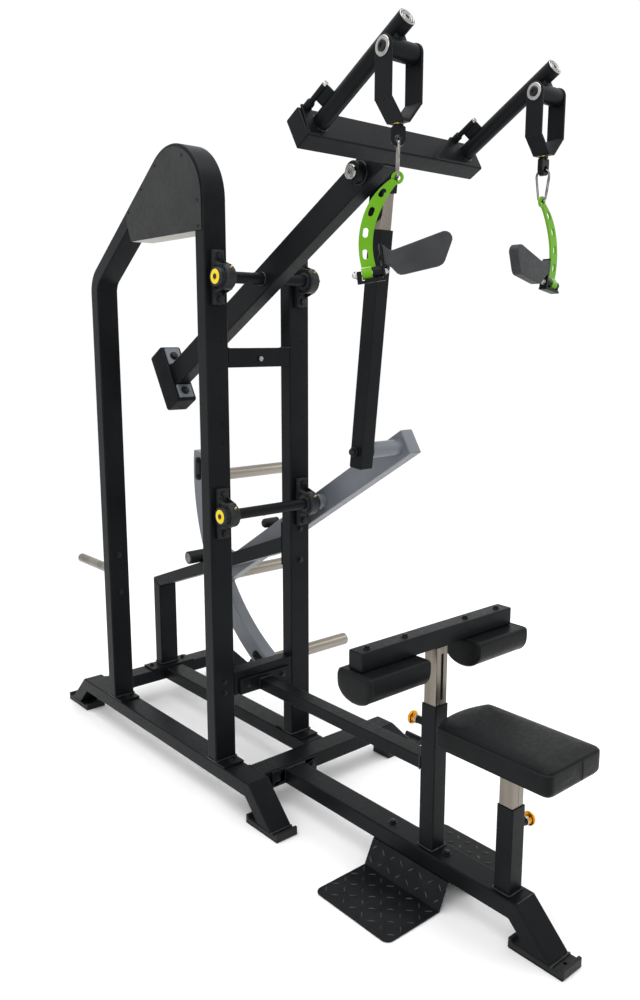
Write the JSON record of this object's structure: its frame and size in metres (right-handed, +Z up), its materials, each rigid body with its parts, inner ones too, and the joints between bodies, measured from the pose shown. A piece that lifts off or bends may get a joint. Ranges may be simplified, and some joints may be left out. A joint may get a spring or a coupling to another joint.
{
  "type": "lat pulldown machine",
  "caption": "Plate-loaded lat pulldown machine: linked levers on a bent-tube frame, hanging swivel handles, weight pegs, adjustable seat and thigh pads.",
  "frame": {"origin": "middle of the footprint, on the floor", "axes": "+Z up, -Y towards the seat where the user sits facing +Y, +X towards the weight pegs"},
  "size_m": [0.9851, 2.346, 2.1837],
  "materials": {
    "black_frame": "satin black powder coat",
    "grey_frame": "satin silver-grey powder coat",
    "shroud_sheet": "fine-textured dark grey powder coat",
    "bearing_casting": "black painted casting",
    "peg_steel": "brushed stainless steel",
    "chrome": "polished chrome plate",
    "rubber": "matt moulded black rubber",
    "vinyl": "stitched black grained vinyl over foam",
    "green_plate": "gloss green powder coat",
    "knob": "anodised gold-orange",
    "checker_plate": "raised-bar checker plate, satin black"
  },
  "bodies": {
    "frame": {"left_base_rail": "black_frame", "front_cross_beam": "black_frame", "rear_cross_beam": "black_frame", "middle_rail": "black_frame", "lower_spine": "black_frame", "foot_front_left": "rubber", "foot_rear_left": "rubber", "foot_front_right": "rubber", "foot_rear_right": "rubber", "foot_seat_end": "rubber", "foot_tread": "checker_plate", "left_hoop": "black_frame", "shroud_outer_panel": "shroud_sheet", "shroud_inner_panel": "shroud_sheet", "right_upright": "black_frame", "upper_tie_bar": "black_frame", "lower_cross_tie": "black_frame", "upper_spine": "black_frame", "stop_post": "black_frame", "stop_bar": "black_frame", "storage_peg": "peg_steel", "upper_left_bearing": "bearing_casting", "upper_right_bearing": "bearing_casting", "lower_left_bearing": "bearing_casting", "lower_right_bearing": "bearing_casting", "thigh_sleeve": "black_frame", "seat_sleeve": "black_frame"},
    "upper_lever": {"upper_shaft": "black_frame", "upper_lever": "black_frame", "crosshead": "black_frame", "left_pull_arm": "black_frame", "right_pull_arm": "black_frame", "counterweight": "black_frame"},
    "link": {"link_inner_tube": "chrome", "link_outer_tube": "black_frame"},
    "lower_lever": {"lower_shaft": "black_frame", "lower_lever": "grey_frame", "weight_arm": "grey_frame", "upper_weight_peg": "peg_steel", "middle_weight_peg": "peg_steel", "lower_weight_peg": "peg_steel", "stop_roller": "rubber"},
    "seat": {"seat_post": "chrome", "seat_pad": "vinyl"},
    "thigh_support": {"thigh_post": "chrome", "thigh_bar": "black_frame", "left_thigh_pad": "vinyl", "right_thigh_pad": "vinyl"},
    "seat_knob": {"seat_knob": "knob"},
    "thigh_knob": {"thigh_knob": "knob"},
    "left_stirrup": {"left_stirrup": "black_frame"},
    "left_swivel": {"left_swivel": "black_frame"},
    "left_carabiner": {"left_carabiner": "chrome"},
    "left_handle_plate": {"left_handle_plate": "green_plate"},
    "left_grip": {"left_grip": "rubber"},
    "right_stirrup": {"right_stirrup": "black_frame"},
    "right_swivel": {"right_swivel": "black_frame"},
    "right_carabiner": {"right_carabiner": "chrome"},
    "right_handle_plate": {"right_handle_plate": "green_plate"},
    "right_grip": {"right_grip": "rubber"}
  },
  "joints": [
    {"name": "lower_lever_hinge", "type": "hinge", "parent": "frame", "child": "lower_lever", "pos_m": [-0.1524, 0.0064, 0.97], "axis": [1, 0, 0], "range_deg": [0, 57]},
    {"name": "upper_lever_hinge", "type": "hinge", "parent": "frame", "child": "upper_lever", "pos_m": [-0.1524, 0.0064, 1.688], "axis": [1, 0, 0], "range_deg": [0, 48]},
    {"name": "link_hinge", "type": "hinge", "parent": "upper_lever", "child": "link", "pos_m": [-0.1524, -0.42488, 1.937], "axis": [1, 0, 0], "range_deg": [-47, 1]},
    {"name": "seat_slide", "type": "slide", "parent": "frame", "child": "seat", "axis": [0, 0, 1], "range_m": [-0.05, 0.075]},
    {"name": "thigh_slide", "type": "slide", "parent": "frame", "child": "thigh_support", "axis": [0, 0, 1], "range_m": [-0.125, 0.1]},
    {"name": "seat_knob_pull", "type": "slide", "parent": "frame", "child": "seat_knob", "axis": [1, 0, 0], "range_m": [0, 0.012], "stiffness_N_per_m": 800, "springref_m": -0.004},
    {"name": "thigh_knob_pull", "type": "slide", "parent": "frame", "child": "thigh_knob", "axis": [0, 1, 0], "range_m": [0, 0.012], "stiffness_N_per_m": 800, "springref_m": -0.004},
    {"name": "left_stirrup_swing", "type": "hinge", "parent": "upper_lever", "child": "left_stirrup", "pos_m": [-0.4129, -0.79835, 2.10413], "axis": [1, 0, 0], "range_deg": [-60, 8]},
    {"name": "left_swivel_spin", "type": "hinge", "parent": "left_stirrup", "child": "left_swivel", "pos_m": [-0.4129, -0.79835, 1.95983], "axis": [0, 0, 1], "continuous": true},
    {"name": "left_carabiner_swing", "type": "hinge", "parent": "left_swivel", "child": "left_carabiner", "pos_m": [-0.4129, -0.79835, 1.92863], "axis": [0.6508, 0.7593, 0], "range_deg": [-20, 20]},
    {"name": "left_handle_swing", "type": "hinge", "parent": "left_carabiner", "child": "left_handle_plate", "pos_m": [-0.4129, -0.79835, 1.84983], "axis": [0.7593, -0.6508, 0], "range_deg": [-15, 15]},
    {"name": "left_grip_tilt", "type": "hinge", "parent": "left_handle_plate", "child": "left_grip", "pos_m": [-0.46149, -0.7567, 1.64883], "axis": [0.7499, -0.6428, 0.1564], "range_deg": [-30, 30]},
    {"name": "right_stirrup_swing", "type": "hinge", "parent": "upper_lever", "child": "right_stirrup", "pos_m": [0.1081, -0.79835, 2.10413], "axis": [1, 0, 0], "range_deg": [-60, 8]},
    {"name": "right_swivel_spin", "type": "hinge", "parent": "right_stirrup", "child": "right_swivel", "pos_m": [0.1081, -0.79835, 1.95983], "axis": [0, 0, 1], "continuous": true},
    {"name": "right_carabiner_swing", "type": "hinge", "parent": "right_swivel", "child": "right_carabiner", "pos_m": [0.1081, -0.79835, 1.92863], "axis": [0.0698, -0.9976, 0], "range_deg": [-20, 20]},
    {"name": "right_handle_swing", "type": "hinge", "parent": "right_carabiner", "child": "right_handle_plate", "pos_m": [0.1081, -0.79835, 1.84983], "axis": [-0.9976, -0.0698, 0], "range_deg": [-15, 15]},
    {"name": "right_grip_tilt", "type": "hinge", "parent": "right_handle_plate", "child": "right_grip", "pos_m": [0.17194, -0.79389, 1.64883], "axis": [-0.9853, -0.0689, 0.1564], "range_deg": [-30, 30]}
  ],
  "couplings": [
    {"joint": "upper_lever_hinge", "follows": "lower_lever_hinge", "ratio": 0.8327},
    {"joint": "link_hinge", "follows": "lower_lever_hinge", "ratio": -0.8022}
  ]
}
